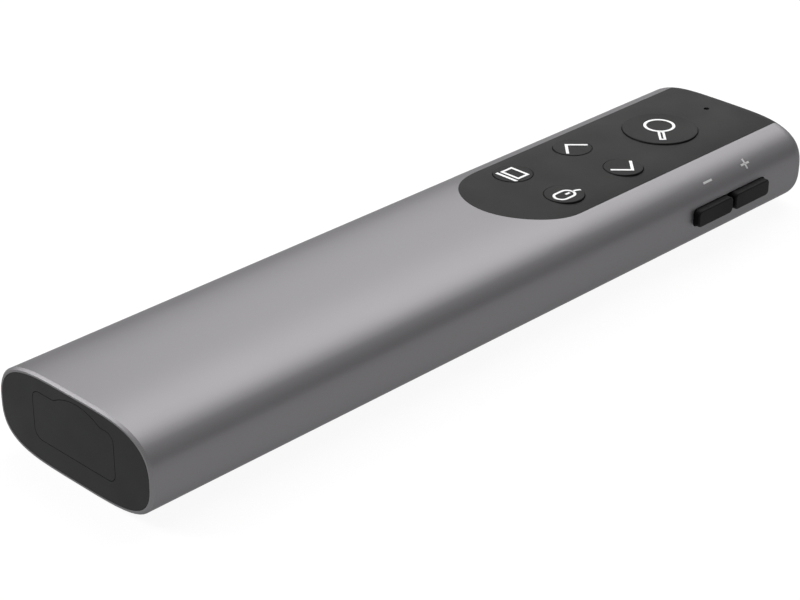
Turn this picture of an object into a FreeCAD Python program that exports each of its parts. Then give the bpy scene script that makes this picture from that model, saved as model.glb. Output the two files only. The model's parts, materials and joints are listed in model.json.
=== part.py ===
import FreeCAD, Part
import math
import os

os.makedirs("parts", exist_ok=True)

# Y is measured from the tail face and Z from mid height; save() moves each piece to the row's frame.
# A name that ends in back is a distance behind the front end.

# Body
body_width = 30.0
body_height = 13.17
total_length = 129.8
wall = 1.1
side_power = 4.0
top_power = 2.5
under_power = 2.85
outline_count = 72
fine_count = 2880
rear_bevel = 0.3
front_round = 2.4
front_wall = 2.7
window_land = 0.15
rest_flat_depth = 0.04
overrun = 1.0
edge_match = 0.01
parallel_share = 0.999
touch_gap = 0.05
seat_gap = 0.02
moving_gap = 0.3
running_gap = 0.05
half_width = body_width / 2
half_height = body_height / 2
front_wall_y = total_length - front_wall
window_inset = front_round + window_land

# Nose cap, held behind the window in the sleeve's front wall
nose_flange = 1.2
nose_wall = 1.0
nose_plate = 1.6
nose_recess = 0.15
nose_lip_gap = 0.1
nose_start = front_wall_y - touch_gap - nose_flange

# Keypad panel
panel_half_width = 9.95
panel_tongue_back = 47.2
panel_thickness = 1.9
panel_edge_gap = 0.05
panel_flange = 1.2
panel_lip_drop = 3.2
panel_lip_thickness = 1.2
gasket_thickness = 0.12
gasket_edge = 0.35
panel_tongue_y = total_length - panel_tongue_back
panel_flange_end = nose_start - touch_gap
panel_lip_low = half_height - panel_lip_drop

# Round keys: place, size and stack
key_radius = 2.95
spotlight_radius = 5.75
spotlight_back = 17.4
step_key_x = 4.95
step_key_back = 31.9
low_key_x = 4.95
low_key_back = 45.0
key_proud = 0.1
spotlight_proud = 0.2
key_edge_round = 0.12
key_gap = 0.08
key_roof_depth = 2.0
key_flange = 0.7
key_flange_thickness = 0.6
key_boss_radius = 1.2
pocket_margin = 0.35
key_flange_high = half_height - key_roof_depth - moving_gap
key_flange_low = key_flange_high - key_flange_thickness

# Side keys
side_key_proud = 1.0
side_key_level = 0.07
side_key_height = 2.6
side_key_gap = 0.15
side_keys_back = 10.55
volume_up_length = 8.15
side_keys_apart = 0.65
volume_down_length = 8.05
side_key_corner = 0.7
side_key_round = 0.25
side_flange_gap = 0.85
side_flange_thickness = 0.7
side_flange_reach = 0.9
side_key_face = half_width + side_key_proud
side_key_low = side_key_level - side_key_height / 2
side_key_high = side_key_level + side_key_height / 2
volume_up_end = total_length - side_keys_back
volume_up_start = volume_up_end - volume_up_length
volume_down_end = volume_up_start - side_keys_apart
volume_down_start = volume_down_end - volume_down_length
side_flange_outer = half_width - wall - side_flange_gap
side_flange_inner = side_flange_outer - side_flange_thickness

# Main board
board_top = 0.6
board_thickness = 0.8
board_side_gap = 3.4
board_length = 49.5
board_front_gap = 4.3
board_corner = 1.5
board_low = board_top - board_thickness
board_half_width = half_width - wall - board_side_gap
board_end = total_length - board_front_gap
board_start = board_end - board_length

# Key switches
switch_half = 2.25
switch_height = 1.5
switch_corner = 0.4
stem_radius = 1.0
stem_reach = 0.7
stem_floor = 0.5
stem_room = 0.45
side_switch_depth = 2.6
side_switch_half = 2.0
side_switch_height = 1.6
side_stem_radius = 0.5
side_stem_reach = 1.2
side_stem_inside = 1.0
side_stem_room = 0.6
stem_hole_low = board_top + stem_floor
stem_low = stem_hole_low + stem_room
stem_high = board_top + switch_height + stem_reach
side_switch_outer = side_flange_inner - side_stem_reach
side_switch_inner = side_switch_outer - side_switch_depth
side_stem_level = board_top + side_switch_height / 2
side_stem_inner = side_switch_outer - side_stem_inside

# Status light
light_back = 6.05
light_hole_radius = 0.45
light_pipe_radius = 0.35
light_pipe_depth = 0.4
light_base_radius = 1.0
light_base_gap = 0.05
led_gap = 0.1
led_half_length = 0.8
led_half_width = 0.5
led_height = 0.6
light_y = total_length - light_back
light_base_low = board_top + led_height + led_gap

# Receiver
head_half_width = 7.9
head_low = -2.85
head_high = 4.0
head_corner = 1.3
head_depth = 6.0
head_front_wall = 1.8
lip_radius = 8.4
lip_top = 5.3
lip_off_centre = 0.9
lip_depth = 0.9
plug_half_width = 6.0
plug_half_height = 2.25
plug_corner = 0.4
plug_wall = 0.3
plug_root = 3.0
plug_reach = 12.2
cavity_gap = 0.05
tongue_thickness = 1.8
tongue_side_gap = 0.1
tongue_root_gap = 1.0
tongue_tip_gap = 0.4
receiver_board_half_width = 5.0
receiver_board_gap = 0.5
receiver_board_thickness = 0.8
receiver_chip_half = 1.5
receiver_chip_gap = 0.2
receiver_chip_height = 0.8
contact_half_width = 0.5
contact_height = 0.15
contact_overlap = 1.15
contact_tip_gap = 0.6
contact_outer_x = 3.5
contact_inner_x = 1.0
plug_level = (head_low + head_high) / 2
plug_start = head_depth - plug_root
plug_end = head_depth + plug_reach
tongue_half_width = plug_half_width - plug_wall - tongue_side_gap
tongue_low = plug_level - plug_half_height + plug_wall + seat_gap
tongue_high = tongue_low + tongue_thickness
tongue_start = head_depth + tongue_root_gap
tongue_end = plug_end - tongue_tip_gap
receiver_board_start = head_front_wall + receiver_board_gap
receiver_board_end = tongue_start - touch_gap
receiver_chip_y = receiver_board_start + receiver_chip_gap + receiver_chip_half
contact_start = receiver_board_end - contact_overlap
contact_end = tongue_end - contact_tip_gap

# Tail cap
tail_rim = 0.55
tail_plate = 1.6
tail_seat_depth = 1.2
tail_skirt_end = 9.0
tail_skirt_wall = 0.9
head_gap = 0.08
head_back_gap = 0.4
lip_back_gap = 0.3
plug_gap = 0.4
bay_end_gap = 0.4
bay_wall = 0.9
bay_back_wall = 0.8
magnet_half_width = 2.5
magnet_half_height = 1.5
magnet_depth = 1.4
tail_step = tail_seat_depth - touch_gap
bay_room_end = plug_end + bay_end_gap
bay_end = bay_room_end + bay_back_wall + magnet_depth

# Charging socket, hung under the board
socket_half_width = 4.47
socket_half_height = 1.58
socket_wall = 0.3
socket_length = 7.6
socket_back = 0.3
socket_round = 1.5
socket_opening_gap = 0.1
socket_base_length = 1.6
socket_tongue_half_width = 3.35
socket_tongue_half_height = 0.35
socket_tongue_gap = 0.7
socket_contact_half_width = 0.13
socket_contact_pitch = 0.5
socket_contact_count = 12
socket_contact_height = 0.06
socket_contact_root = 0.8
socket_contact_tip = 0.4
socket_level = board_low - seat_gap - socket_half_height
socket_end = total_length - socket_back
socket_start = socket_end - socket_length
socket_base_end = socket_start + socket_base_length
socket_tongue_end = socket_end - socket_tongue_gap

# Inner chassis and its screws
tray_inset = 1.2
tray_wall = 0.9
tray_rear_gap = 1.4
tray_front_gap = 0.6
tray_rim_gap = 0.5
stop_gap = 1.2
stop_thickness = 1.0
stop_half_width = 10.0
stop_height = 3.0
screw_side_gap = 2.2
screw_rear_gap = 3.0
screw_front_gap = 4.3
boss_radius = 1.7
screw_radius = 0.8
screw_head_radius = 1.4
screw_head_height = 0.9
screw_depth = 3.3
screw_recess_radius = 0.45
screw_recess_depth = 0.4
screw_recess_sides = 6
board_hole_radius = 0.95
tray_start = bay_end + tray_rear_gap
tray_end = nose_start - tray_front_gap
tray_rim = side_key_low - side_flange_reach - tray_rim_gap
tray_floor = -half_height + tray_inset + tray_wall
rear_stop_y = tray_start + stop_gap
screw_x = board_half_width - screw_side_gap
screw_low = board_low - screw_depth

# Battery
cell_side_gap = 4.4
cell_thickness = 5.2
cell_front_room = 6.0
cell_round = 1.2
pad_half_width = 7.0
pad_floor_gap = 0.2
pad_thickness = 0.6
pad_end_gap = 3.0
cell_board_half_width = 7.5
cell_board_rise = 0.7
cell_board_height = 3.8
cell_board_thickness = 1.0
lead_radius = 0.35
lead_spacing = 1.2
lead_straight = 1.2
lead_bend = 1.0
plug_overhang = 0.4
plug_length = 2.4
battery_plug_half_width = 2.2
battery_plug_gap = 0.15
battery_plug_height = 1.75
header_half_width = 2.6
header_length = 2.6
header_height = 2.2
cell_half_width = half_width - wall - cell_side_gap
cell_start = rear_stop_y + stop_thickness + touch_gap
cell_end = board_start - cell_front_room
pad_low = tray_floor + pad_floor_gap
cell_low = pad_low + pad_thickness
cell_high = cell_low + cell_thickness
cell_board_y = cell_end + touch_gap
cell_board_low = cell_low + cell_board_rise
cell_board_high = cell_board_low + cell_board_height
front_stop_y = cell_board_y + cell_board_thickness + stop_gap
plug_box_start = board_start - plug_overhang
header_start = plug_box_start + plug_length
battery_plug_low = board_top + battery_plug_gap
battery_plug_high = battery_plug_low + battery_plug_height

# Chips on the board
radio_half = 2.2
radio_back = 38.4
chip_height = 0.9
sensor_half_width = 1.4
sensor_half_length = 1.5
charger_half = 1.5
charger_back = 12.8
crystal_half_width = 0.8
crystal_half_length = 1.6
crystal_side_gap = 0.8
crystal_height = 0.7
antenna_half_width = 0.8
antenna_half_length = 4.0
antenna_side_gap = 0.5
antenna_back = 21.8
antenna_height = 1.1
capacitor_half_width = 0.4
capacitor_half_length = 0.8
capacitor_height = 0.6
capacitor_x = 2.6
capacitor_back = 27.2
capacitor_pitch = 2.4
capacitor_rows = 2
chip_corner = 0.15
radio_y = total_length - radio_back
charger_y = total_length - charger_back
crystal_x = -board_half_width + crystal_side_gap + crystal_half_width
antenna_x = -board_half_width + antenna_side_gap + antenna_half_width

ALONG_X = FreeCAD.Vector(1, 0, 0)
ALONG_Y = FreeCAD.Vector(0, 1, 0)
ALONG_Z = FreeCAD.Vector(0, 0, 1)


def save(name, shape):
    placed = shape.copy()
    placed.translate(FreeCAD.Vector(0, -total_length / 2, half_height - rest_flat_depth))
    placed.exportStep("parts/" + name + ".step")


def signed_power(value, power):
    return math.copysign(abs(value) ** power, value)


def outline_wire(inset):
    # The body's cross-section drawn in by the inset, through points at even spacing.
    fine = []
    for step in range(fine_count + 1):
        angle = 2 * math.pi * step / fine_count
        x = (half_width - inset) * signed_power(math.cos(angle), 2 / side_power)
        power = top_power if math.sin(angle) > 0 else under_power
        z = (half_height - inset) * signed_power(math.sin(angle), 2 / power)
        fine.append(FreeCAD.Vector(x, 0, z))
    runs = [0]
    for first, second in zip(fine, fine[1:]):
        runs.append(runs[-1] + (second - first).Length)
    points = []
    place = 0
    for count in range(outline_count):
        wanted = runs[-1] * count / outline_count
        while runs[place + 1] < wanted:
            place += 1
        share = (wanted - runs[place]) / (runs[place + 1] - runs[place])
        points.append(fine[place] + (fine[place + 1] - fine[place]) * share)
    curve = Part.BSplineCurve()
    curve.interpolate(Points=points, PeriodicFlag=True)
    return Part.Wire([curve.toShape()])


def body_block(inset, start, end):
    face = Part.Face(outline_wire(inset))
    face.translate(FreeCAD.Vector(0, start, 0))
    return face.extrude(FreeCAD.Vector(0, end - start, 0))


def block(x_low, x_high, y_low, y_high, z_low, z_high):
    size = (x_high - x_low, y_high - y_low, z_high - z_low)
    return Part.makeBox(*size, FreeCAD.Vector(x_low, y_low, z_low))


def rod(x, y, radius, z_low, z_high):
    return Part.makeCylinder(radius, z_high - z_low, FreeCAD.Vector(x, y, z_low))


def edges_along(shape, direction):
    found = []
    for edge in shape.Edges:
        if isinstance(edge.Curve, Part.Line):
            if abs(edge.tangentAt(edge.FirstParameter).dot(direction)) > parallel_share:
                found.append(edge)
    return found


def rounded_block(sizes, radius, direction):
    shape = block(*sizes)
    return shape.makeFillet(radius, edges_along(shape, direction))


def joined(shapes):
    result = shapes[0]
    for shape in shapes[1:]:
        result = result.fuse(shape)
    return result.removeSplitter()


def tongue_block(grow, front, z_low, z_high):
    reach = panel_half_width + grow
    straight = block(-reach, reach, panel_tongue_y, front, z_low, z_high)
    return straight.fuse(rod(0, panel_tongue_y, reach, z_low, z_high)).removeSplitter()


def round_keys():
    step_y = total_length - step_key_back
    low_y = total_length - low_key_back
    return {
        "spotlight_key": (0, total_length - spotlight_back, spotlight_radius, spotlight_proud),
        "previous_key": (-step_key_x, step_y, key_radius, key_proud),
        "next_key": (step_key_x, step_y, key_radius, key_proud),
        "screen_key": (-low_key_x, low_y, key_radius, key_proud),
        "mouse_key": (low_key_x, low_y, key_radius, key_proud),
    }


def side_keys():
    return {
        "volume_down_key": (volume_down_start, volume_down_end, -side_flange_reach, 0),
        "volume_up_key": (volume_up_start, volume_up_end, 0, side_flange_reach),
    }


def end_edges(shape, level):
    found = []
    for edge in shape.Edges:
        box = edge.BoundBox
        if abs(box.YMin - level) < edge_match and abs(box.YMax - level) < edge_match:
            found.append(edge)
    return found


def whole_body():
    # The body's outside as one block, rounded over at the front, bevelled at the tail and flat below.
    shape = body_block(0, 0, total_length)
    shape = shape.makeChamfer(rear_bevel, end_edges(shape, 0))
    shape = shape.makeFillet(front_round, end_edges(shape, total_length))
    ground = block(-half_width, half_width, -overrun, total_length + overrun,
                   -half_height - overrun, -half_height + rest_flat_depth)
    return shape.cut(ground)


def body_sleeve():
    shape = whole_body().cut(body_block(wall, -overrun, front_wall_y))
    shape = shape.cut(body_block(window_inset, front_wall_y - overrun, total_length + overrun))
    shape = shape.cut(body_block(tail_rim, -overrun, tail_seat_depth))
    opening = tongue_block(panel_edge_gap, total_length + overrun, 0, half_height + overrun)
    shape = shape.cut(opening)
    slot = (0, half_width + overrun, volume_down_start - side_key_gap, volume_up_end + side_key_gap,
            side_key_low - side_key_gap, side_key_high + side_key_gap)
    return shape.cut(rounded_block(slot, side_key_corner + side_key_gap, ALONG_X))


def keypad_panel():
    skin = whole_body().common(tongue_block(0, total_length, 0, half_height + overrun))
    inner_front = total_length - panel_lip_thickness
    hollow = block(-half_width, half_width, 0, inner_front, -half_height,
                   half_height - panel_thickness)
    hollow = body_block(panel_thickness, 0, inner_front).common(hollow)
    skin = skin.cut(hollow)
    skin = skin.cut(block(-half_width, half_width, 0, total_length + overrun, -overrun, panel_lip_low))
    under = wall + touch_gap
    flange = body_block(under, 0, panel_flange_end).cut(
        body_block(panel_thickness, -overrun, panel_flange_end + overrun))
    flange = flange.common(tongue_block(panel_flange, panel_flange_end, panel_lip_low,
                                        half_height + overrun))
    step = body_block(under + gasket_thickness + seat_gap, 0, panel_flange_end)
    gasket_room = tongue_block(panel_flange + overrun, panel_flange_end + overrun, 0, half_height)
    gasket_room = gasket_room.cut(tongue_block(gasket_edge, total_length, -overrun,
                                               half_height + overrun))
    flange = flange.cut(gasket_room.cut(step))
    shape = skin.fuse(flange)
    for x, y, radius, proud in round_keys().values():
        pocket = radius + key_flange + pocket_margin
        shape = shape.cut(rod(x, y, radius + key_gap, 0, half_height + overrun))
        shape = shape.cut(rod(x, y, pocket, 0, key_flange_high + moving_gap))
    return shape.cut(rod(0, light_y, light_hole_radius, 0, half_height + overrun))


def panel_gasket():
    outer = wall + touch_gap
    ring = body_block(outer, 0, panel_flange_end).cut(
        body_block(outer + gasket_thickness, -overrun, panel_flange_end + overrun))
    room = tongue_block(panel_flange, panel_flange_end, 0, half_height)
    room = room.cut(tongue_block(gasket_edge + touch_gap, panel_flange_end + overrun, -overrun,
                                 half_height + overrun))
    return ring.common(room)


def crown_height(x):
    share = abs(x / half_width) ** side_power
    return half_height * (1 - share) ** (1 / top_power)


def round_key(x, y, radius, proud):
    cap = rod(x, y, radius, key_flange_low, crown_height(x) + proud)
    top_edges = [edge for edge in cap.Edges if edge.BoundBox.ZMin > half_height / 2]
    top_edges = [edge for edge in top_edges if edge.BoundBox.XLength > radius]
    cap = cap.makeFillet(key_edge_round, top_edges)
    flange = rod(x, y, radius + key_flange, key_flange_low, key_flange_high)
    boss = rod(x, y, key_boss_radius, stem_high, key_flange_low)
    return joined([cap, flange, boss])


def side_key(start, end, reach_low, reach_high):
    sizes = (side_flange_inner, side_key_face, start, end, side_key_low, side_key_high)
    cap = rounded_block(sizes, side_key_corner, ALONG_X)
    face_edges = [edge for edge in cap.Edges if edge.BoundBox.XMin > side_key_face - side_key_round]
    cap = cap.makeFillet(side_key_round, face_edges)
    flange = block(side_flange_inner, side_flange_outer, start + reach_low, end + reach_high,
                   side_key_low - side_flange_reach, side_key_high + side_flange_reach)
    return joined([cap, flange])


def switch_body(x, y):
    sizes = (x - switch_half, x + switch_half, y - switch_half, y + switch_half,
             board_top, board_top + switch_height)
    shape = rounded_block(sizes, switch_corner, ALONG_Z)
    return shape.cut(rod(x, y, stem_radius + running_gap, stem_hole_low, half_height))


def switch_stem(x, y):
    return rod(x, y, stem_radius, stem_low, stem_high)


def side_switch_body(y):
    sizes = (side_switch_inner, side_switch_outer, y - side_switch_half, y + side_switch_half,
             board_top, board_top + side_switch_height)
    shape = rounded_block(sizes, switch_corner, ALONG_Z)
    hole_start = side_stem_inner - side_stem_room
    hole = Part.makeCylinder(side_stem_radius + running_gap, half_width - hole_start,
                             FreeCAD.Vector(hole_start, y, side_stem_level), ALONG_X)
    return shape.cut(hole)


def side_switch_stem(y):
    return Part.makeCylinder(side_stem_radius, side_flange_inner - side_stem_inner,
                             FreeCAD.Vector(side_stem_inner, y, side_stem_level), ALONG_X)


def screw_places():
    places = []
    for y in (board_start + screw_rear_gap, board_end - screw_front_gap):
        for x in (-screw_x, screw_x):
            places.append((x, y))
    return places


def main_board():
    sizes = (-board_half_width, board_half_width, board_start, board_end, board_low, board_top)
    shape = rounded_block(sizes, board_corner, ALONG_Z)
    for x, y in screw_places():
        shape = shape.cut(rod(x, y, board_hole_radius, -half_height, half_height))
    return shape


def board_screws():
    screws = []
    for x, y in screw_places():
        screw = joined([rod(x, y, screw_radius, screw_low, board_top + screw_head_height),
                        rod(x, y, screw_head_radius, board_top, board_top + screw_head_height)])
        head_top = board_top + screw_head_height
        corners = Part.makePolygon(recess_points(x, y, head_top - screw_recess_depth))
        recess = Part.Face(corners).extrude(ALONG_Z * half_height)
        screws.append(screw.cut(recess))
    return Part.makeCompound(screws)


def recess_points(x, y, z):
    points = []
    for step in range(screw_recess_sides + 1):
        angle = 2 * math.pi * step / screw_recess_sides
        points.append(FreeCAD.Vector(x + screw_recess_radius * math.cos(angle),
                                     y + screw_recess_radius * math.sin(angle), z))
    return points


def inner_chassis():
    shape = body_block(tray_inset, tray_start, tray_end)
    shape = shape.cut(body_block(tray_inset + tray_wall, tray_start - overrun, tray_end + overrun))
    keep = block(-half_width, half_width, tray_start, tray_end, -half_height, tray_rim)
    shape = shape.common(keep)
    inside = body_block(tray_inset, tray_start, tray_end)
    extras = []
    for x, y in screw_places():
        extras.append(rod(x, y, boss_radius, -half_height, board_low - seat_gap))
    for y in (rear_stop_y, front_stop_y):
        extras.append(block(-stop_half_width, stop_half_width, y, y + stop_thickness,
                            -half_height, tray_floor + stop_height))
    for extra in extras:
        shape = shape.fuse(extra.common(inside))
    shape = shape.removeSplitter()
    for x, y in screw_places():
        shape = shape.cut(rod(x, y, screw_radius + seat_gap, screw_low - seat_gap, half_height))
    return shape


def head_forms(grow):
    # The receiver head's block and the disc of its pull lip, both grown by the gap.
    low_z = head_low - grow
    high_z = head_high + grow
    half = head_half_width + grow
    base = rounded_block((-half, half, 0, head_depth, low_z, high_z), head_corner + grow, ALONG_Y)
    lip_level = lip_top - lip_radius
    disc = Part.makeCylinder(lip_radius + grow, head_depth,
                             FreeCAD.Vector(lip_off_centre, 0, lip_level), ALONG_Y)
    upper = block(-half, half, 0, head_depth, high_z - head_corner, half_height + overrun)
    return base, disc.common(upper)


def plug_block(grow, start, end):
    sizes = (-plug_half_width - grow, plug_half_width + grow, start, end,
             plug_level - plug_half_height - grow, plug_level + plug_half_height + grow)
    return rounded_block(sizes, plug_corner, ALONG_Y)


def tail_cap():
    plate = body_block(tail_rim + touch_gap, 0, tail_step)
    inner_inset = wall + touch_gap
    back_plate = body_block(inner_inset, tail_step, tail_plate)
    skirt = body_block(inner_inset, tail_step, tail_skirt_end).cut(
        body_block(inner_inset + tail_skirt_wall, 0, tail_skirt_end + overrun))
    room = body_block(inner_inset, 0, bay_end)
    head_room_end = head_depth + head_back_gap
    base = rounded_block((-head_half_width - head_gap - bay_wall, head_half_width + head_gap + bay_wall,
                          0, head_room_end + bay_wall, head_low - head_gap - bay_wall,
                          head_high + head_gap + bay_wall), head_corner, ALONG_Y)
    housing = plug_block(plug_gap + bay_wall, 0, bay_end)
    shape = joined([plate, back_plate, skirt, base.common(room), housing])
    head_room, lip_room = head_forms(head_gap)
    deeper = head_room.copy()
    deeper.translate(ALONG_Y * head_back_gap)
    outer_room = head_room.copy()
    outer_room.translate(-ALONG_Y * overrun)
    lip_cut = lip_room.common(block(-half_width, half_width, 0, lip_depth + lip_back_gap,
                                    -half_height, half_height))
    lip_outer = lip_cut.copy()
    lip_outer.translate(-ALONG_Y * (lip_depth / 2))
    for cutter in (head_room, deeper, outer_room, lip_cut, lip_outer):
        shape = shape.cut(cutter)
    shape = shape.cut(plug_block(plug_gap, head_depth - overrun, bay_room_end))
    return shape.cut(magnet_block(seat_gap, bay_end + overrun))


def magnet_block(grow, end):
    return block(-magnet_half_width - grow, magnet_half_width + grow,
                 bay_end - magnet_depth - grow, end,
                 plug_level - magnet_half_height - grow, plug_level + magnet_half_height + grow)


def usb_receiver_head():
    base, lip = head_forms(0)
    lip = lip.common(block(-half_width, half_width, 0, lip_depth, -half_height, half_height))
    return joined([base, lip]).cut(plug_block(cavity_gap, head_front_wall, head_depth + overrun))


def usb_receiver_shell():
    shape = plug_block(0, plug_start, plug_end)
    sizes = (-plug_half_width + plug_wall, plug_half_width - plug_wall, plug_start - overrun,
             plug_end + overrun, plug_level - plug_half_height + plug_wall,
             plug_level + plug_half_height - plug_wall)
    return shape.cut(block(*sizes))


def usb_receiver_contacts():
    strips = []
    for x in (-contact_outer_x, -contact_inner_x, contact_inner_x, contact_outer_x):
        strips.append(block(x - contact_half_width, x + contact_half_width, contact_start,
                            contact_end, tongue_high, tongue_high + contact_height))
    return Part.makeCompound(strips)


def socket_block(grow, start, end):
    sizes = (-socket_half_width - grow, socket_half_width + grow, start, end,
             socket_level - socket_half_height - grow, socket_level + socket_half_height + grow)
    return rounded_block(sizes, socket_round + grow, ALONG_Y)


def nose_cap():
    inset = window_inset + touch_gap
    flange = body_block(wall + touch_gap, nose_start, nose_start + nose_flange)
    shape = flange.fuse(body_block(inset, nose_start, total_length - nose_recess))
    hollow = body_block(inset + nose_wall, nose_start - overrun, total_length - nose_plate)
    shape = shape.cut(hollow)
    lip_room = tongue_block(nose_lip_gap, total_length + overrun, panel_lip_low - nose_lip_gap,
                            half_height + overrun)
    lip_room = lip_room.common(block(-half_width, half_width, nose_start - overrun,
                                     total_length + overrun, -half_height, half_height))
    shape = shape.cut(lip_room)
    return shape.cut(socket_block(socket_opening_gap, nose_start - overrun, total_length + overrun))


def charging_socket_shell():
    return socket_block(0, socket_start, socket_end).cut(
        socket_block(-socket_wall, socket_start - overrun, socket_end + overrun))


def charging_socket_tongue():
    base = socket_block(-socket_wall - seat_gap, socket_start, socket_base_end)
    tongue = block(-socket_tongue_half_width, socket_tongue_half_width, socket_base_end,
                   socket_tongue_end, socket_level - socket_tongue_half_height,
                   socket_level + socket_tongue_half_height)
    return joined([base, tongue])


def charging_socket_contacts():
    strips = []
    first = -socket_contact_pitch * (socket_contact_count - 1) / 2
    top = socket_level + socket_tongue_half_height
    low = socket_level - socket_tongue_half_height
    start = socket_base_end + socket_contact_root
    end = socket_tongue_end - socket_contact_tip
    for count in range(socket_contact_count):
        x = first + socket_contact_pitch * count
        left = x - socket_contact_half_width
        right = x + socket_contact_half_width
        strips.append(block(left, right, start, end, top, top + socket_contact_height))
        strips.append(block(left, right, start, end, low - socket_contact_height, low))
    return Part.makeCompound(strips)


def rounded_path(points, radius):
    # Straight runs joined by tangent arcs.
    edges = []
    last = points[0]
    for before, corner, after in zip(points, points[1:], points[2:]):
        back = (before - corner).normalize()
        ahead = (after - corner).normalize()
        half_turn = (math.pi - back.getAngle(ahead)) / 2
        reach = radius * math.tan(half_turn)
        first = corner + back * reach
        second = corner + ahead * reach
        middle = corner + (back + ahead).normalize() * (radius / math.cos(half_turn) - radius)
        edges.append(Part.LineSegment(last, first).toShape())
        edges.append(Part.Arc(first, middle, second).toShape())
        last = second
    edges.append(Part.LineSegment(last, points[-1]).toShape())
    return Part.Wire(edges)


def battery_leads():
    leads = []
    start_y = cell_board_y + cell_board_thickness
    start_z = (cell_board_low + cell_board_high) / 2
    end_z = (battery_plug_low + battery_plug_high) / 2
    for side in (-1, 0, 1):
        x = side * lead_spacing
        points = [FreeCAD.Vector(x, start_y, start_z),
                  FreeCAD.Vector(x, start_y + lead_straight, start_z),
                  FreeCAD.Vector(x, plug_box_start - lead_straight, end_z),
                  FreeCAD.Vector(x, plug_box_start, end_z)]
        path = rounded_path(points, lead_bend)
        ring = Part.Wire([Part.makeCircle(lead_radius, points[0], ALONG_Y)])
        leads.append(path.makePipeShell([ring], True, False))
    return Part.makeCompound(leads)


def battery_cell():
    sizes = (-cell_half_width, cell_half_width, cell_start, cell_end, cell_low, cell_high)
    return rounded_block(sizes, cell_round, ALONG_Y)


def light_pipe():
    base_top = half_height - panel_thickness - light_base_gap
    return joined([rod(0, light_y, light_base_radius, light_base_low, base_top),
                   rod(0, light_y, light_pipe_radius, light_base_low, half_height - light_pipe_depth)])


def chip(x, y, half_x, half_y, low, high):
    return rounded_block((x - half_x, x + half_x, y - half_y, y + half_y, low, high),
                         chip_corner, ALONG_Z)


def capacitors():
    pieces = []
    for row in range(capacitor_rows):
        for side in (-1, 1):
            y = total_length - capacitor_back + capacitor_pitch * row
            pieces.append(block(side * capacitor_x - capacitor_half_width,
                                side * capacitor_x + capacitor_half_width,
                                y - capacitor_half_length, y + capacitor_half_length,
                                board_top, board_top + capacitor_height))
    return Part.makeCompound(pieces)


def save_keys():
    for name, (x, y, radius, proud) in round_keys().items():
        save(name, round_key(x, y, radius, proud))
        base = name.replace("_key", "")
        save(base + "_switch_body", switch_body(x, y))
        save(base + "_switch_stem", switch_stem(x, y))
    for name, (start, end, reach_low, reach_high) in side_keys().items():
        save(name, side_key(start, end, reach_low, reach_high))
        base = name.replace("_key", "")
        save(base + "_switch_body", side_switch_body((start + end) / 2))
        save(base + "_switch_stem", side_switch_stem((start + end) / 2))


def save_receiver():
    save("usb_receiver_head", usb_receiver_head())
    save("usb_receiver_shell", usb_receiver_shell())
    save("usb_receiver_tongue", block(-tongue_half_width, tongue_half_width, tongue_start,
                                      tongue_end, tongue_low, tongue_high))
    save("usb_receiver_contacts", usb_receiver_contacts())
    save("usb_receiver_board", block(-receiver_board_half_width, receiver_board_half_width,
                                     receiver_board_start, receiver_board_end,
                                     tongue_high - receiver_board_thickness, tongue_high))
    save("usb_receiver_chip", chip(0, receiver_chip_y, receiver_chip_half, receiver_chip_half,
                                   tongue_high, tongue_high + receiver_chip_height))
    save("receiver_magnet", magnet_block(0, bay_end))


def save_board_parts():
    save("main_board", main_board())
    save("board_screws", board_screws())
    save("radio_chip", chip(0, radio_y, radio_half, radio_half, board_top, board_top + chip_height))
    save("motion_sensor", chip(0, total_length - low_key_back, sensor_half_width, sensor_half_length,
                               board_top, board_top + chip_height))
    save("charger_chip", chip(0, charger_y, charger_half, charger_half,
                              board_low - chip_height, board_low))
    save("crystal", chip(crystal_x, radio_y, crystal_half_width, crystal_half_length,
                         board_top, board_top + crystal_height))
    save("antenna", chip(antenna_x, total_length - antenna_back, antenna_half_width, antenna_half_length,
                         board_top, board_top + antenna_height))
    save("capacitors", capacitors())
    save("status_led", block(-led_half_length, led_half_length, light_y - led_half_width,
                             light_y + led_half_width, board_top, board_top + led_height))
    save("led_light_pipe", light_pipe())


def save_battery():
    save("battery_cell", battery_cell())
    save("battery_pad", block(-pad_half_width, pad_half_width, cell_start + pad_end_gap,
                              cell_end - pad_end_gap, pad_low, cell_low))
    save("battery_board", block(-cell_board_half_width, cell_board_half_width, cell_board_y,
                                cell_board_y + cell_board_thickness, cell_board_low, cell_board_high))
    save("battery_leads", battery_leads())
    save("battery_plug", block(-battery_plug_half_width, battery_plug_half_width, plug_box_start,
                               header_start, battery_plug_low, battery_plug_high))
    save("battery_header", block(-header_half_width, header_half_width, header_start,
                                 header_start + header_length, board_top, board_top + header_height))


save("body_sleeve", body_sleeve())
save("keypad_panel", keypad_panel())
save("panel_gasket", panel_gasket())
save("nose_cap", nose_cap())
save("tail_cap", tail_cap())
save("inner_chassis", inner_chassis())
save_keys()
save_receiver()
save_board_parts()
save_battery()
save("charging_socket_shell", charging_socket_shell())
save("charging_socket_tongue", charging_socket_tongue())
save("charging_socket_contacts", charging_socket_contacts())
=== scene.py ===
import json
import math

import bpy
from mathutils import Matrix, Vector
from mathutils.bvhtree import BVHTree

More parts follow.
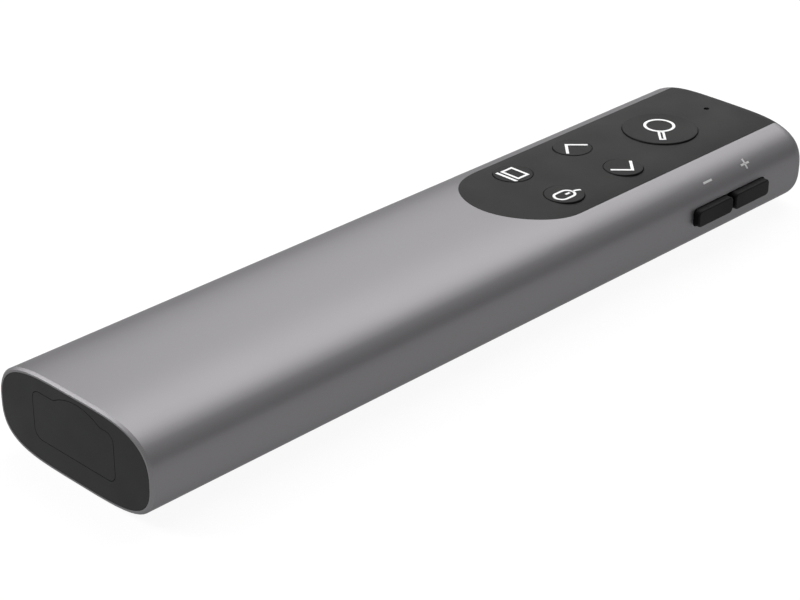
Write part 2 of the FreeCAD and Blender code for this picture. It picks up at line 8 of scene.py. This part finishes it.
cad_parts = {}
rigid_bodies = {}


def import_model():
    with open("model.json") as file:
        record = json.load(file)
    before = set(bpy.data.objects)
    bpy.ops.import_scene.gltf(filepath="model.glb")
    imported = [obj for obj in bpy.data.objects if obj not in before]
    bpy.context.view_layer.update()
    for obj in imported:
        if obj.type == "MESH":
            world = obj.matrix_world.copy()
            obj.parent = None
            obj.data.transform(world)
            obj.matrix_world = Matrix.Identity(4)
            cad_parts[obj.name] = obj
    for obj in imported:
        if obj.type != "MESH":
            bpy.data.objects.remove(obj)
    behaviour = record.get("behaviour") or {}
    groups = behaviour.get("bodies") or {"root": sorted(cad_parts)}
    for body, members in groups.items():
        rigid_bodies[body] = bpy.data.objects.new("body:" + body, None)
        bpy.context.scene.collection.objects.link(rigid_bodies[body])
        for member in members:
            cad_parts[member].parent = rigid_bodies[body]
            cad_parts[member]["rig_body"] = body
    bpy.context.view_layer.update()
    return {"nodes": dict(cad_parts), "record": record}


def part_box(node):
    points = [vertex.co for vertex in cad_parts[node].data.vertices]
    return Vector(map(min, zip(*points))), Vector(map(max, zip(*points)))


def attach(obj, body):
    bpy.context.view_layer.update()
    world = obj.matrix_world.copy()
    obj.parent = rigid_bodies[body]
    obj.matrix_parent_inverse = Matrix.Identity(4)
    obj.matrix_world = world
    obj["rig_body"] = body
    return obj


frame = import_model()
nodes = frame["nodes"]

# Materials: the levels that noise is spread from, and its octaves
noise_low = 0.3
noise_high = 0.7
broad_detail = 4.0
fine_detail = 2.0

# Signs on the keys: sizes in metres, angles in degrees, places from each key's centre
sign_step = 0.00025
sign_height = 0.00003
sign_sink = 0.00001
thicken_inwards = -1
curve_steps = 6
circle_steps = 48
full_turn = 360.0
half_turn = 180.0
mitre_least = 0.35

ring_x = -0.00071
ring_y = 0.00071
ring_radius = 0.0022
ring_stroke = 0.00044
handle_start = 0.00245
handle_end = 0.0052
handle_half = 0.00034
handle_stroke = 0.00037
handle_angle = -45.0

previous_sign_place = (0.00035, 0.0)
next_sign_place = (0.00013, 0.00007)
arrow_tip = 0.00157
arrow_back = 0.00072
arrow_half = 0.00224
arrow_stroke = 0.00043

screen_left = -0.0014
screen_right = 0.0018
screen_low = -0.00082
screen_high = 0.00121
screen_stroke = 0.0004
base_left = -0.00174
base_right = 0.00282
base_level = -0.00164
base_stroke = 0.00044

mouse_x = 0.00032
mouse_half = 0.0011
mouse_low = -0.00202
mouse_high = 0.0014
mouse_stroke = 0.00038
wheel_low = -0.00005
wheel_high = 0.0008
cable_end_x = 0.00084
cable_end_y = 0.0027

# Signs on the sleeve: sizes in metres, minus and plus placed along the frame's y axis
side_sign_x = 0.01363
minus_place = 0.04198
plus_place = 0.05094
minus_half = 0.00098
plus_half_along = 0.00095
plus_half_round = 0.00084
side_sign_stroke = 0.00034
search_heights = 2

# Camera, as fitted to the photograph: lens and sensor in millimetres, the rest in metres and degrees
camera_place = Vector((0.19796, -0.20704, 0.152715))
camera_azimuth = 44.892
camera_elevation = 27.813
camera_lens = 103.34
camera_sensor = 36.0
camera_near = 0.01
camera_far = 20.0

# Studio: metres, watts, and levels where 1 is white. Rises and edge are parts of a direction.
floor_half = 2.0
floor_drop = 0.00005
floor_albedo = 0.12
floor_glow = 0.92
world_strength = 0.30
background_left = 0.87
background_low = 0.05
background_high = 0.75
background_rise_start = 0.05
background_rise_end = 0.45
background_edge = 0.7
top_lamp_place = (-0.31, 0.58, 0.755)
top_lamp_size = 1.1
top_lamp_watts = 7.9
side_lamp_place = (-0.8, -0.5, 0.7)
side_lamp_size = 0.6
side_lamp_watts = 7.0


def opaque(colour):
    return (*colour, 1.0)


def grey(level):
    return opaque((level, level, level))


def tinted(colour, share):
    return opaque(min(1.0, part * share) for part in colour)


def calculated(tree, operation, *values):
    node = tree.nodes.new("ShaderNodeMath")
    node.operation = operation
    for socket, value in zip(node.inputs, values):
        if isinstance(value, float):
            socket.default_value = value
        else:
            tree.links.new(value, socket)
    return node.outputs["Value"]


def remapped(tree, value, start, end, first, last):
    # Turns the range from start to end into the range from first to last.
    node = tree.nodes.new("ShaderNodeMapRange")
    values = {"Value": value, "From Min": start, "From Max": end, "To Min": first, "To Max": last}
    for name, given in values.items():
        if isinstance(given, float):
            node.inputs[name].default_value = given
        else:
            tree.links.new(given, node.inputs[name])
    return node.outputs["Result"]


def noise(tree, place, per_metre, detail, stretch=None):
    if stretch:
        mapping = tree.nodes.new("ShaderNodeMapping")
        mapping.inputs["Scale"].default_value = stretch
        tree.links.new(place, mapping.inputs["Vector"])
        place = mapping.outputs["Vector"]
    node = tree.nodes.new("ShaderNodeTexNoise")
    node.inputs["Scale"].default_value = per_metre
    node.inputs["Detail"].default_value = detail
    tree.links.new(place, node.inputs["Vector"])
    return node.outputs["Fac"]


def spread(tree, value, low, high):
    return remapped(tree, value, noise_low, noise_high, low, high)


def two_tones(tree, value, first, second):
    node = tree.nodes.new("ShaderNodeMix")
    node.data_type = "RGBA"
    node.inputs["A"].default_value = first
    node.inputs["B"].default_value = second
    tree.links.new(value, node.inputs["Factor"])
    return node.outputs["Result"]


def bump(tree, value, depth, strength):
    node = tree.nodes.new("ShaderNodeBump")
    node.inputs["Distance"].default_value = depth
    node.inputs["Strength"].default_value = strength
    tree.links.new(value, node.inputs["Height"])
    return node.outputs["Normal"]


def surface(name, colour, roughness, metallic=0.0, specular=0.5, grain=9000.0, grain_depth=0.000006,
            grain_strength=0.3, mottle=140.0, mottle_share=0.06, rough_share=0.08, stretch=None,
            coat=0.0, edge=1.0):
    # Grain and mottle are noises per metre: one raises the surface, one varies tone and roughness.
    material = bpy.data.materials.new(name)
    material.use_nodes = True
    tree = material.node_tree
    shader = tree.nodes["Principled BSDF"]
    place = tree.nodes.new("ShaderNodeTexCoord").outputs["Object"]
    broad = noise(tree, place, mottle, broad_detail)
    fine = noise(tree, place, grain, fine_detail, stretch)
    tone = two_tones(tree, spread(tree, broad, 0.0, 1.0), tinted(colour, 1 - mottle_share),
                     tinted(colour, 1 + mottle_share))
    tree.links.new(tone, shader.inputs["Base Color"])
    rough = spread(tree, broad, roughness * (1 - rough_share), roughness * (1 + rough_share))
    tree.links.new(rough, shader.inputs["Roughness"])
    tree.links.new(bump(tree, fine, grain_depth, grain_strength), shader.inputs["Normal"])
    shader.inputs["Metallic"].default_value = metallic
    shader.inputs["Specular IOR Level"].default_value = specular
    shader.inputs["Specular Tint"].default_value = grey(edge)
    shader.inputs["Coat Weight"].default_value = coat
    return material


def make_materials():
    # Each piece's slot has its material, and the two inks are the signs'.
    return {
        "sleeve_metal": surface("blasted_aluminium", (0.195, 0.19, 0.197), roughness=0.46,
                                metallic=0.85, specular=0.1, grain=7000.0, grain_depth=0.000008,
                                grain_strength=0.25, mottle_share=0.01, rough_share=0.02, edge=0.5),
        "panel_black": surface("panel_plastic", (0.019, 0.0185, 0.0185), roughness=0.5, specular=0.05),
        "key_black": surface("key_plastic", (0.016, 0.0155, 0.0155), roughness=0.5, specular=0.05),
        "side_key_black": surface("side_key_plastic", (0.006, 0.006, 0.006), roughness=0.6,
                                  specular=0.12),
        "tail_black": surface("tail_plastic", (0.0075, 0.0075, 0.0079), roughness=0.5, specular=0.16),
        "chassis_grey": surface("chassis_plastic", (0.05, 0.05, 0.053), roughness=0.55),
        "gasket_dark": surface("gasket_rubber", (0.02, 0.02, 0.02), roughness=0.75, specular=0.3),
        "board_green": surface("solder_mask", (0.012, 0.09, 0.035), roughness=0.35, mottle=900.0,
                               mottle_share=0.25, coat=0.2),
        "chip_dark": surface("chip_resin", (0.012, 0.012, 0.014), roughness=0.5, grain=14000.0),
        "ceramic_cream": surface("ceramic", (0.42, 0.36, 0.24), roughness=0.5),
        "connector_white": surface("connector_plastic", (0.62, 0.60, 0.53), roughness=0.45),
        "steel_bright": surface("plug_steel", (0.40, 0.40, 0.41), roughness=0.38, metallic=1.0,
                                stretch=(1.0, 0.05, 1.0)),
        "screw_steel": surface("screw_steel", (0.30, 0.30, 0.31), roughness=0.38, metallic=1.0),
        "contact_gold": surface("contact_gold", (0.75, 0.50, 0.17), roughness=0.25, metallic=1.0),
        "cell_foil": surface("cell_foil", (0.55, 0.56, 0.57), roughness=0.4, metallic=0.9,
                             mottle=300.0, grain=900.0, grain_depth=0.00003),
        "pad_foam": surface("pad_foam", (0.03, 0.03, 0.03), roughness=0.9, specular=0.2,
                            grain=3000.0, grain_depth=0.00005, grain_strength=0.8),
        "lead_sleeve": surface("lead_sleeve", (0.35, 0.015, 0.01), roughness=0.45),
        "magnet_nickel": surface("nickel", (0.60, 0.59, 0.56), roughness=0.2, metallic=1.0),
        "light_clear": surface("clear_resin", (0.55, 0.57, 0.55), roughness=0.2),
        "switch_black": surface("switch_plastic", (0.015, 0.015, 0.015), roughness=0.5),
        "stem_cream": surface("stem_plastic", (0.5, 0.45, 0.33), roughness=0.45),
        "sign_ink": surface("sign_ink", (0.97, 0.97, 0.97), roughness=0.55, specular=0.3,
                            mottle_share=0.02),
        "side_sign_ink": surface("side_sign_ink", (0.85, 0.85, 0.85), roughness=0.55, specular=0.3,
                                 mottle_share=0.02),
    }


def dress_nodes(materials):
    for entry in frame["record"]["subparts"]:
        piece = nodes[entry["node"]]
        piece.data.materials.clear()
        piece.data.materials.append(materials[entry["material_slot"]])


def search_tree(name):
    mesh = nodes[name].data
    corners = [vertex.co.copy() for vertex in mesh.vertices]
    faces = [tuple(face.vertices) for face in mesh.polygons]
    return BVHTree.FromPolygons(corners, faces)


def subdivided(points, closed):
    # The same line with no step longer than the sign step.
    result = []
    ends = points[1:] + points[:1] if closed else points[1:]
    for start, end in zip(points, ends):
        count = max(1, math.ceil((end - start).length / sign_step))
        for step in range(count):
            result.append(start.lerp(end, step / count))
    if not closed:
        result.append(points[-1])
    return result


def stroke_sides(points, closed, half):
    # The left and right edge of a stroke along the points, mitred where it turns.
    left = []
    right = []
    last = len(points) - 1
    for place, point in enumerate(points):
        before = points[place - 1] if place or closed else None
        after = points[(place + 1) % len(points)] if place < last or closed else None
        into = (point - before).normalized() if before is not None else None
        out = (after - point).normalized() if after is not None else None
        into = into or out
        out = out or into
        ahead = (into + out).normalized()
        normal = Vector((-ahead.y, ahead.x))
        reach = half / max(mitre_least, normal.dot(Vector((-into.y, into.x))))
        left.append(point + normal * reach)
        right.append(point - normal * reach)
    return left, right


def add_stroke(points, closed, width, corners, faces):
    points = subdivided(points, closed)
    left, right = stroke_sides(points, closed, width / 2)
    first = len(corners)
    for one, other in zip(left, right):
        corners.extend((one, other))
    count = len(points)
    for place in range(count if closed else count - 1):
        here = first + 2 * place
        there = first + 2 * ((place + 1) % count)
        faces.append((here + 1, there + 1, there, here))


def print_sign(name, node, origin, across, along, strokes, material):
    # Prints strokes on a node's surface: each corner is dropped on it along the sign's normal.
    flat = []
    faces = []
    for points, closed, width in strokes:
        add_stroke(points, closed, width, flat, faces)
    across = across.normalized()
    along = along.normalized()
    normal = across.cross(along)
    lift = max(nodes[node].dimensions)
    target = search_tree(node)
    corners = []
    for point in flat:
        place = origin + across * point.x + along * point.y
        hit = target.ray_cast(place + normal * lift, -normal)[0]
        corners.append(hit + normal * sign_height)
    mesh = bpy.data.meshes.new(name)
    mesh.from_pydata(corners, [], faces)
    mesh.materials.append(material)
    piece = bpy.data.objects.new(name, mesh)
    bpy.context.scene.collection.objects.link(piece)
    thick = piece.modifiers.new("thickness", "SOLIDIFY")
    thick.thickness = sign_height + sign_sink
    thick.offset = thicken_inwards
    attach(piece, nodes[node]["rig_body"])


def arc(centre, radius, start, turn, steps):
    # The points of an arc, with both of its ends where it isn't a whole circle.
    points = []
    for step in range(steps if turn == full_turn else steps + 1):
        angle = math.radians(start + turn * step / steps)
        points.append(centre + Vector((math.cos(angle), math.sin(angle))) * radius)
    return points


def key_centre(name):
    low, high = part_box(name)
    middle = (low + high) / 2
    return Vector((middle.x, middle.y, high.z))


def box_line(left, right, low, high):
    return [Vector((left, low)), Vector((right, low)), Vector((right, high)), Vector((left, high))]


def magnifier_strokes():
    centre = Vector((ring_x, ring_y))
    angle = math.radians(handle_angle)
    ahead = Vector((math.cos(angle), math.sin(angle)))
    aside = Vector((-ahead.y, ahead.x)) * handle_half
    start = centre + ahead * handle_start
    end = centre + ahead * handle_end
    handle = [start - aside, end - aside, end + aside, start + aside]
    ring = arc(centre, ring_radius, 0.0, full_turn, circle_steps)
    return [(ring, True, ring_stroke), (handle, True, handle_stroke)]


def arrow_strokes(side, place):
    # Side is 1 where the arrow points right and -1 where it points left.
    middle, level = place
    back = middle - side * arrow_back
    tip = Vector((middle + side * arrow_tip, level))
    points = [Vector((back, level - arrow_half)), tip, Vector((back, level + arrow_half))]
    return [(points, False, arrow_stroke)]


def laptop_strokes():
    screen = box_line(screen_left, screen_right, screen_low, screen_high)
    base = [Vector((base_left, base_level)), Vector((base_right, base_level))]
    return [(screen, True, screen_stroke), (base, False, base_stroke)]


def mouse_strokes():
    middle_low = Vector((mouse_x, mouse_low + mouse_half))
    middle_high = Vector((mouse_x, mouse_high - mouse_half))
    outline = arc(middle_high, mouse_half, 0.0, half_turn, circle_steps // 2)
    outline += arc(middle_low, mouse_half, half_turn, half_turn, circle_steps // 2)
    wheel = [Vector((mouse_x, wheel_low)), Vector((mouse_x, wheel_high))]
    cable_start = Vector((mouse_x, mouse_high))
    cable_end = Vector((cable_end_x, cable_end_y))
    cable_middle = Vector((cable_start.x, (cable_start.y + cable_end.y) / 2))
    cable = []
    for step in range(curve_steps + 1):
        share = step / curve_steps
        first = cable_start.lerp(cable_middle, share)
        second = cable_middle.lerp(cable_end, share)
        cable.append(first.lerp(second, share))
    return [(outline, True, mouse_stroke), (wheel, False, mouse_stroke), (cable, False, mouse_stroke)]


def print_key_signs(ink):
    across = Vector((1, 0, 0))
    along = Vector((0, 1, 0))
    key_signs = {
        "spotlight_key": magnifier_strokes(),
        "previous_key": arrow_strokes(-1, previous_sign_place),
        "next_key": arrow_strokes(1, next_sign_place),
        "screen_key": laptop_strokes(),
        "mouse_key": mouse_strokes(),
    }
    for key, strokes in key_signs.items():
        print_sign(key.replace("_key", "_sign"), key, key_centre(key), across, along, strokes, ink)


def sleeve_top(x):
    # The place on the sleeve's top that is x to the right of its middle, and the outward normal there.
    # A ray straight down finds both. It starts at some times the sleeve's height.
    target = search_tree("body_sleeve")
    low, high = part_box("body_sleeve")
    above = Vector((x, (low.y + high.y) / 2, high.z * search_heights))
    place, normal = target.ray_cast(above, Vector((0, 0, -1)))[:2]
    return place, normal


def print_side_signs(ink):
    place, normal = sleeve_top(side_sign_x)
    along = Vector((0, 1, 0))
    across = along.cross(normal)
    minus = [Vector((0, -minus_half)), Vector((0, minus_half))]
    bar = [Vector((0, -plus_half_along)), Vector((0, plus_half_along))]
    cross = [Vector((-plus_half_round, 0)), Vector((plus_half_round, 0))]
    signs = {
        "volume_down": (minus_place, [(minus, False, side_sign_stroke)]),
        "volume_up": (plus_place, [(bar, False, side_sign_stroke), (cross, False, side_sign_stroke)]),
    }
    for name, (level, strokes) in signs.items():
        origin = Vector((place.x, level, place.z))
        print_sign(name + "_sign", "body_sleeve", origin, across, along, strokes, ink)


def seen_rays(tree, level):
    # The level on rays that the camera, a gloss or a clear piece sends, and nothing on the rest.
    path = tree.nodes.new("ShaderNodeLightPath")
    total = path.outputs["Is Camera Ray"]
    for name in ("Is Glossy Ray", "Is Transmission Ray"):
        total = calculated(tree, "MAXIMUM", total, path.outputs[name])
    return calculated(tree, "MULTIPLY", total, level)


def floor_material():
    # Pale from above, with the clicker's shadow, and clear from below, so that the underside shows.
    material = bpy.data.materials.new("studio_floor")
    material.use_nodes = True
    tree = material.node_tree
    tree.nodes.clear()
    diffuse = tree.nodes.new("ShaderNodeBsdfDiffuse")
    diffuse.inputs["Color"].default_value = grey(floor_albedo)
    glow = tree.nodes.new("ShaderNodeEmission")
    tree.links.new(seen_rays(tree, floor_glow), glow.inputs["Strength"])
    both = tree.nodes.new("ShaderNodeAddShader")
    tree.links.new(diffuse.outputs["BSDF"], both.inputs[0])
    tree.links.new(glow.outputs["Emission"], both.inputs[1])
    clear = tree.nodes.new("ShaderNodeBsdfTransparent")
    side = tree.nodes.new("ShaderNodeNewGeometry")
    above = tree.nodes.new("ShaderNodeMixShader")
    tree.links.new(side.outputs["Backfacing"], above.inputs[0])
    tree.links.new(both.outputs["Shader"], above.inputs[1])
    tree.links.new(clear.outputs["BSDF"], above.inputs[2])
    output = tree.nodes.new("ShaderNodeOutputMaterial")
    tree.links.new(above.outputs["Shader"], output.inputs["Surface"])
    return material


def make_floor():
    mesh = bpy.data.meshes.new("studio_floor")
    corners = [Vector((x, y, -floor_drop))
               for x, y in box_line(-floor_half, floor_half, -floor_half, floor_half)]
    mesh.from_pydata(corners, [], [(0, 1, 2, 3)])
    mesh.materials.append(floor_material())
    floor = bpy.data.objects.new("studio_floor", mesh)
    bpy.context.scene.collection.objects.link(floor)


def background_shade(tree):
    # The backdrop's level: pale to the left of the clicker, and to its right dark near the floor.
    direction = tree.nodes.new("ShaderNodeTexCoord").outputs["Generated"]
    parts = tree.nodes.new("ShaderNodeSeparateXYZ")
    tree.links.new(direction, parts.inputs["Vector"])
    right = remapped(tree, parts.outputs["Z"], background_rise_start, background_rise_end,
                     background_low, background_high)
    return remapped(tree, parts.outputs["X"], -background_edge, background_edge, background_left, right)


def make_world():
    # White to the camera, shaded where a gloss or a clear piece shows it, and a soft light elsewhere.
    world = bpy.data.worlds.new("studio_world")
    bpy.context.scene.world = world
    world.use_nodes = True
    tree = world.node_tree
    background = tree.nodes["Background"]
    background.inputs["Color"].default_value = grey(1.0)
    seen = calculated(tree, "MULTIPLY", seen_rays(tree, 1.0), background_shade(tree))
    camera_ray = tree.nodes.new("ShaderNodeLightPath").outputs["Is Camera Ray"]
    lit = calculated(tree, "MAXIMUM", seen, world_strength)
    tree.links.new(calculated(tree, "MAXIMUM", lit, camera_ray), background.inputs["Strength"])


def make_lamp(name, place, size, watts):
    # A round lamp that faces the frame's origin.
    data = bpy.data.lights.new(name, "AREA")
    data.shape = "DISK"
    data.size = size
    data.energy = watts
    lamp = bpy.data.objects.new(name, data)
    lamp.location = place
    lamp.rotation_euler = (-Vector(place)).to_track_quat("-Z", "Y").to_euler()
    bpy.context.scene.collection.objects.link(lamp)


def make_lamps():
    make_lamp("top_softbox", top_lamp_place, top_lamp_size, top_lamp_watts)
    make_lamp("side_softbox", side_lamp_place, side_lamp_size, side_lamp_watts)


def make_camera():
    data = bpy.data.cameras.new("photo_camera")
    data.lens = camera_lens
    data.sensor_width = camera_sensor
    data.clip_start = camera_near
    data.clip_end = camera_far
    camera = bpy.data.objects.new("photo_camera", data)
    azimuth = math.radians(camera_azimuth)
    elevation = math.radians(camera_elevation)
    ahead = Vector((-math.sin(azimuth) * math.cos(elevation),
                    math.cos(azimuth) * math.cos(elevation), -math.sin(elevation)))
    camera.location = camera_place
    camera.rotation_euler = ahead.to_track_quat("-Z", "Y").to_euler()
    bpy.context.scene.collection.objects.link(camera)
    bpy.context.scene.camera = camera


made = make_materials()
dress_nodes(made)
print_key_signs(made["sign_ink"])
print_side_signs(made["side_sign_ink"])
make_floor()
make_world()
make_lamps()
make_camera()
bpy.context.scene.view_settings.view_transform = "Standard"
